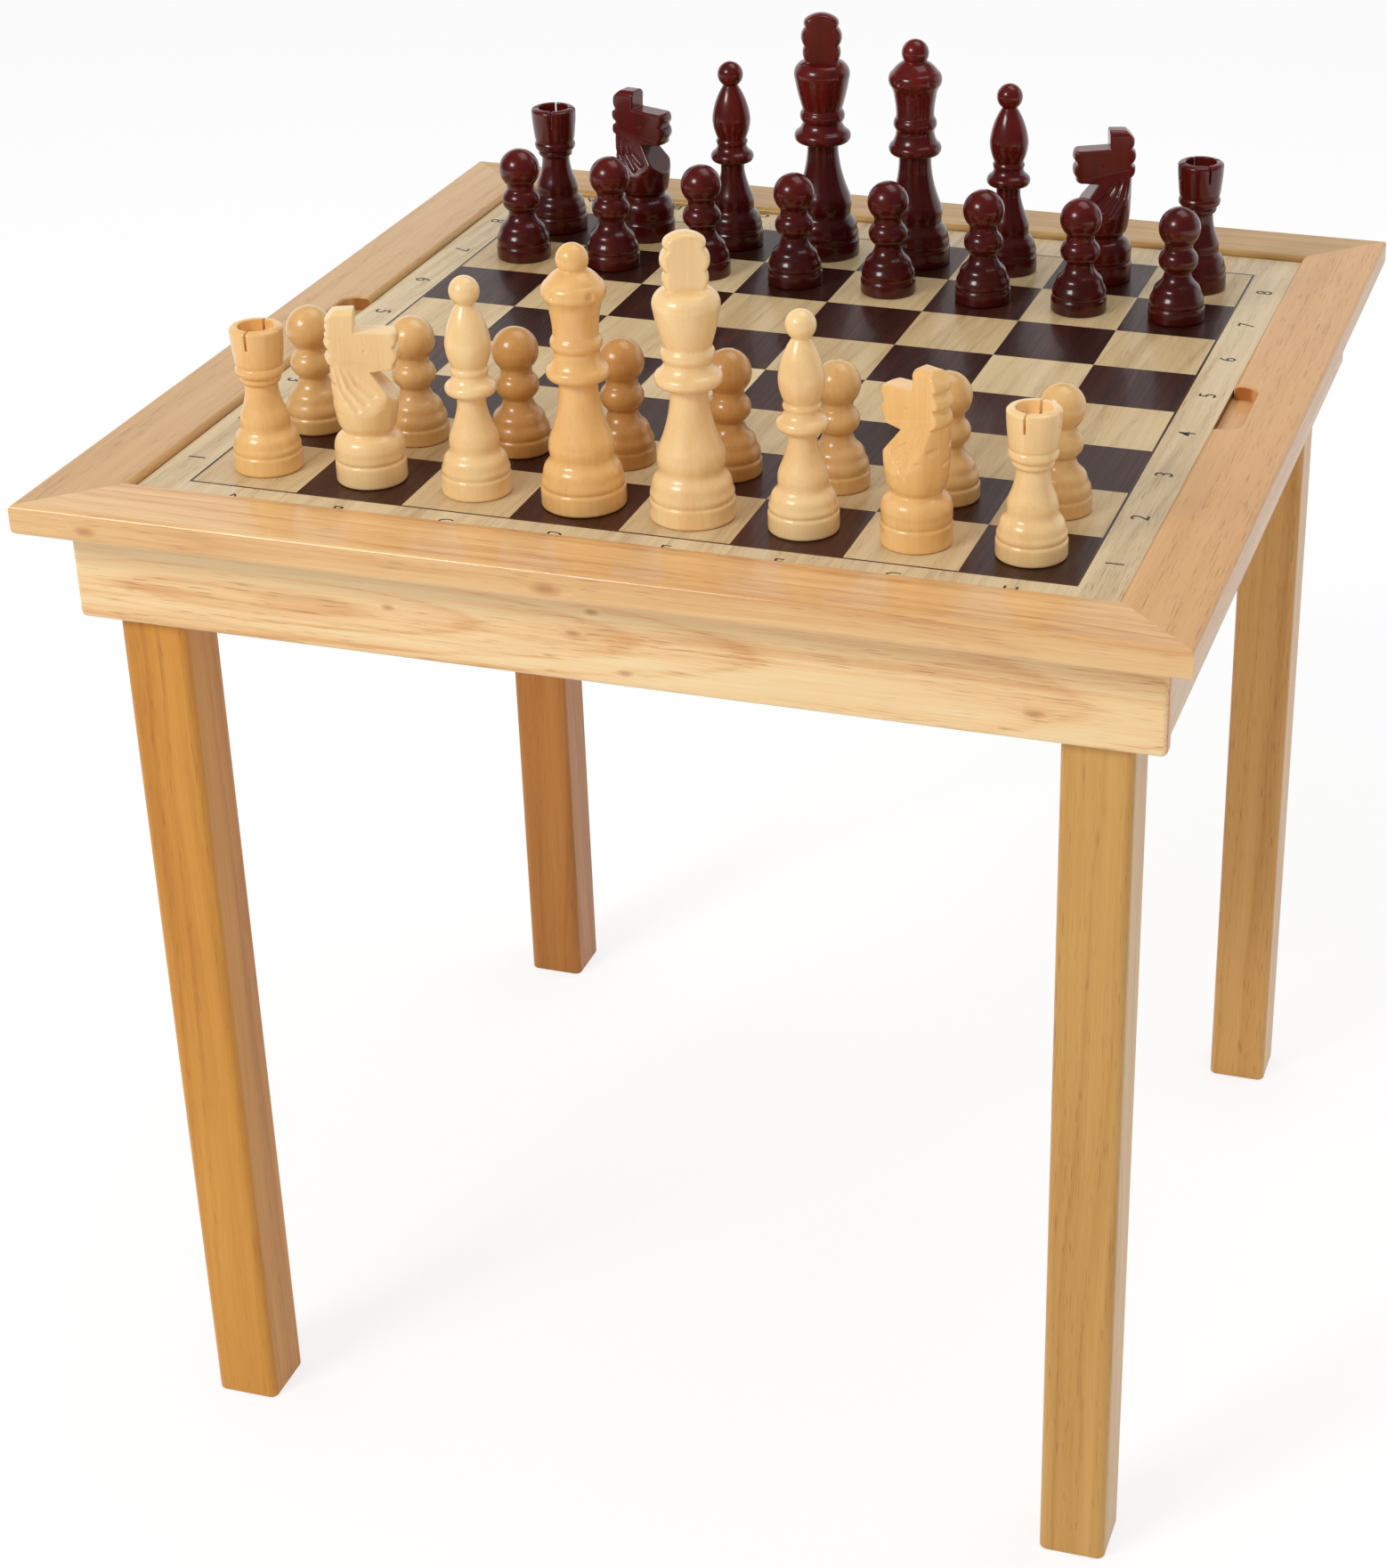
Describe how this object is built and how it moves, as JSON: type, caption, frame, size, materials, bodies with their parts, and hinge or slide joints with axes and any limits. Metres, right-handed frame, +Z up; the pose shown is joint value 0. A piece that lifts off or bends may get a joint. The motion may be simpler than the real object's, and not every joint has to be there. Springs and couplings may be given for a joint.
{
  "type": "chess table",
  "caption": "Small square chess table: mitred frame on four legs, with an inlaid board that lifts out over a compartment, set with turned chessmen.",
  "frame": {"origin": "on the floor, under the centre of the table top", "axes": "+Z up; -Y the side of the light men; +X to the right of the player who sits at that side"},
  "size_m": [0.52, 0.52, 0.624],
  "materials": {
    "frame_wood": "satin",
    "apron_wood": "satin",
    "leg_wood": "satin",
    "block_wood": "matte",
    "floor_ply": "matte",
    "core_board": "matte",
    "veneer_pale": "satin",
    "veneer_dark": "satin",
    "veneer_line": "satin",
    "dowel_beech": "matte",
    "zinc_steel": "zinc plated",
    "men_light": "gloss lacquer",
    "men_dark": "gloss lacquer"
  },
  "bodies": {
    "table": {"apron_back": "apron_wood", "apron_front": "apron_wood", "apron_left": "apron_wood", "apron_right": "apron_wood", "corner_block_back_left": "block_wood", "corner_block_back_right": "block_wood", "corner_block_front_left": "block_wood", "corner_block_front_right": "block_wood", "dowels": "dowel_beech", "floor_panel": "floor_ply", "hanger_bolts": "zinc_steel", "leg_back_left": "leg_wood", "leg_back_right": "leg_wood", "leg_front_left": "leg_wood", "leg_front_right": "leg_wood", "nuts": "zinc_steel", "rail_back": "frame_wood", "rail_front": "frame_wood", "rail_left": "frame_wood", "rail_right": "frame_wood", "washers": "zinc_steel"},
    "board": {"board_core": "core_board", "border_veneer": "veneer_pale", "stringing": "veneer_line", "light_squares": "veneer_pale", "dark_squares": "veneer_dark"},
    "light_rook_a_body": {"light_rook_a": "men_light"},
    "light_rook_h_body": {"light_rook_h": "men_light"},
    "light_knight_b_body": {"light_knight_b": "men_light"},
    "light_knight_g_body": {"light_knight_g": "men_light"},
    "light_bishop_c_body": {"light_bishop_c": "men_light"},
    "light_bishop_f_body": {"light_bishop_f": "men_light"},
    "light_queen_body": {"light_queen": "men_light"},
    "light_king_body": {"light_king": "men_light"},
    "light_pawn_a_body": {"light_pawn_a": "men_light"},
    "light_pawn_b_body": {"light_pawn_b": "men_light"},
    "light_pawn_c_body": {"light_pawn_c": "men_light"},
    "light_pawn_d_body": {"light_pawn_d": "men_light"},
    "light_pawn_e_body": {"light_pawn_e": "men_light"},
    "light_pawn_f_body": {"light_pawn_f": "men_light"},
    "light_pawn_g_body": {"light_pawn_g": "men_light"},
    "light_pawn_h_body": {"light_pawn_h": "men_light"},
    "dark_rook_a_body": {"dark_rook_a": "men_dark"},
    "dark_rook_h_body": {"dark_rook_h": "men_dark"},
    "dark_knight_b_body": {"dark_knight_b": "men_dark"},
    "dark_knight_g_body": {"dark_knight_g": "men_dark"},
    "dark_bishop_c_body": {"dark_bishop_c": "men_dark"},
    "dark_bishop_f_body": {"dark_bishop_f": "men_dark"},
    "dark_queen_body": {"dark_queen": "men_dark"},
    "dark_king_body": {"dark_king": "men_dark"},
    "dark_pawn_a_body": {"dark_pawn_a": "men_dark"},
    "dark_pawn_b_body": {"dark_pawn_b": "men_dark"},
    "dark_pawn_c_body": {"dark_pawn_c": "men_dark"},
    "dark_pawn_d_body": {"dark_pawn_d": "men_dark"},
    "dark_pawn_e_body": {"dark_pawn_e": "men_dark"},
    "dark_pawn_f_body": {"dark_pawn_f": "men_dark"},
    "dark_pawn_g_body": {"dark_pawn_g": "men_dark"},
    "dark_pawn_h_body": {"dark_pawn_h": "men_dark"}
  },
  "joints": [
    {"name": "board_lift", "type": "slide", "parent": "table", "child": "board", "axis": [0, 0, 1], "range_m": [0, 0.12]},
    {"name": "light_rook_a_lift", "type": "slide", "parent": "board", "child": "light_rook_a_body", "axis": [0, 0, 1], "range_m": [0, 0.08]},
    {"name": "light_rook_h_lift", "type": "slide", "parent": "board", "child": "light_rook_h_body", "axis": [0, 0, 1], "range_m": [0, 0.08]},
    {"name": "light_knight_b_lift", "type": "slide", "parent": "board", "child": "light_knight_b_body", "axis": [0, 0, 1], "range_m": [0, 0.08]},
    {"name": "light_knight_g_lift", "type": "slide", "parent": "board", "child": "light_knight_g_body", "axis": [0, 0, 1], "range_m": [0, 0.08]},
    {"name": "light_bishop_c_lift", "type": "slide", "parent": "board", "child": "light_bishop_c_body", "axis": [0, 0, 1], "range_m": [0, 0.08]},
    {"name": "light_bishop_f_lift", "type": "slide", "parent": "board", "child": "light_bishop_f_body", "axis": [0, 0, 1], "range_m": [0, 0.08]},
    {"name": "light_queen_lift", "type": "slide", "parent": "board", "child": "light_queen_body", "axis": [0, 0, 1], "range_m": [0, 0.08]},
    {"name": "light_king_lift", "type": "slide", "parent": "board", "child": "light_king_body", "axis": [0, 0, 1], "range_m": [0, 0.08]},
    {"name": "light_pawn_a_lift", "type": "slide", "parent": "board", "child": "light_pawn_a_body", "axis": [0, 0, 1], "range_m": [0, 0.08]},
    {"name": "light_pawn_b_lift", "type": "slide", "parent": "board", "child": "light_pawn_b_body", "axis": [0, 0, 1], "range_m": [0, 0.08]},
    {"name": "light_pawn_c_lift", "type": "slide", "parent": "board", "child": "light_pawn_c_body", "axis": [0, 0, 1], "range_m": [0, 0.08]},
    {"name": "light_pawn_d_lift", "type": "slide", "parent": "board", "child": "light_pawn_d_body", "axis": [0, 0, 1], "range_m": [0, 0.08]},
    {"name": "light_pawn_e_lift", "type": "slide", "parent": "board", "child": "light_pawn_e_body", "axis": [0, 0, 1], "range_m": [0, 0.08]},
    {"name": "light_pawn_f_lift", "type": "slide", "parent": "board", "child": "light_pawn_f_body", "axis": [0, 0, 1], "range_m": [0, 0.08]},
    {"name": "light_pawn_g_lift", "type": "slide", "parent": "board", "child": "light_pawn_g_body", "axis": [0, 0, 1], "range_m": [0, 0.08]},
    {"name": "light_pawn_h_lift", "type": "slide", "parent": "board", "child": "light_pawn_h_body", "axis": [0, 0, 1], "range_m": [0, 0.08]},
    {"name": "dark_rook_a_lift", "type": "slide", "parent": "board", "child": "dark_rook_a_body", "axis": [0, 0, 1], "range_m": [0, 0.08]},
    {"name": "dark_rook_h_lift", "type": "slide", "parent": "board", "child": "dark_rook_h_body", "axis": [0, 0, 1], "range_m": [0, 0.08]},
    {"name": "dark_knight_b_lift", "type": "slide", "parent": "board", "child": "dark_knight_b_body", "axis": [0, 0, 1], "range_m": [0, 0.08]},
    {"name": "dark_knight_g_lift", "type": "slide", "parent": "board", "child": "dark_knight_g_body", "axis": [0, 0, 1], "range_m": [0, 0.08]},
    {"name": "dark_bishop_c_lift", "type": "slide", "parent": "board", "child": "dark_bishop_c_body", "axis": [0, 0, 1], "range_m": [0, 0.08]},
    {"name": "dark_bishop_f_lift", "type": "slide", "parent": "board", "child": "dark_bishop_f_body", "axis": [0, 0, 1], "range_m": [0, 0.08]},
    {"name": "dark_queen_lift", "type": "slide", "parent": "board", "child": "dark_queen_body", "axis": [0, 0, 1], "range_m": [0, 0.08]},
    {"name": "dark_king_lift", "type": "slide", "parent": "board", "child": "dark_king_body", "axis": [0, 0, 1], "range_m": [0, 0.08]},
    {"name": "dark_pawn_a_lift", "type": "slide", "parent": "board", "child": "dark_pawn_a_body", "axis": [0, 0, 1], "range_m": [0, 0.08]},
    {"name": "dark_pawn_b_lift", "type": "slide", "parent": "board", "child": "dark_pawn_b_body", "axis": [0, 0, 1], "range_m": [0, 0.08]},
    {"name": "dark_pawn_c_lift", "type": "slide", "parent": "board", "child": "dark_pawn_c_body", "axis": [0, 0, 1], "range_m": [0, 0.08]},
    {"name": "dark_pawn_d_lift", "type": "slide", "parent": "board", "child": "dark_pawn_d_body", "axis": [0, 0, 1], "range_m": [0, 0.08]},
    {"name": "dark_pawn_e_lift", "type": "slide", "parent": "board", "child": "dark_pawn_e_body", "axis": [0, 0, 1], "range_m": [0, 0.08]},
    {"name": "dark_pawn_f_lift", "type": "slide", "parent": "board", "child": "dark_pawn_f_body", "axis": [0, 0, 1], "range_m": [0, 0.08]},
    {"name": "dark_pawn_g_lift", "type": "slide", "parent": "board", "child": "dark_pawn_g_body", "axis": [0, 0, 1], "range_m": [0, 0.08]},
    {"name": "dark_pawn_h_lift", "type": "slide", "parent": "board", "child": "dark_pawn_h_body", "axis": [0, 0, 1], "range_m": [0, 0.08]}
  ]
}
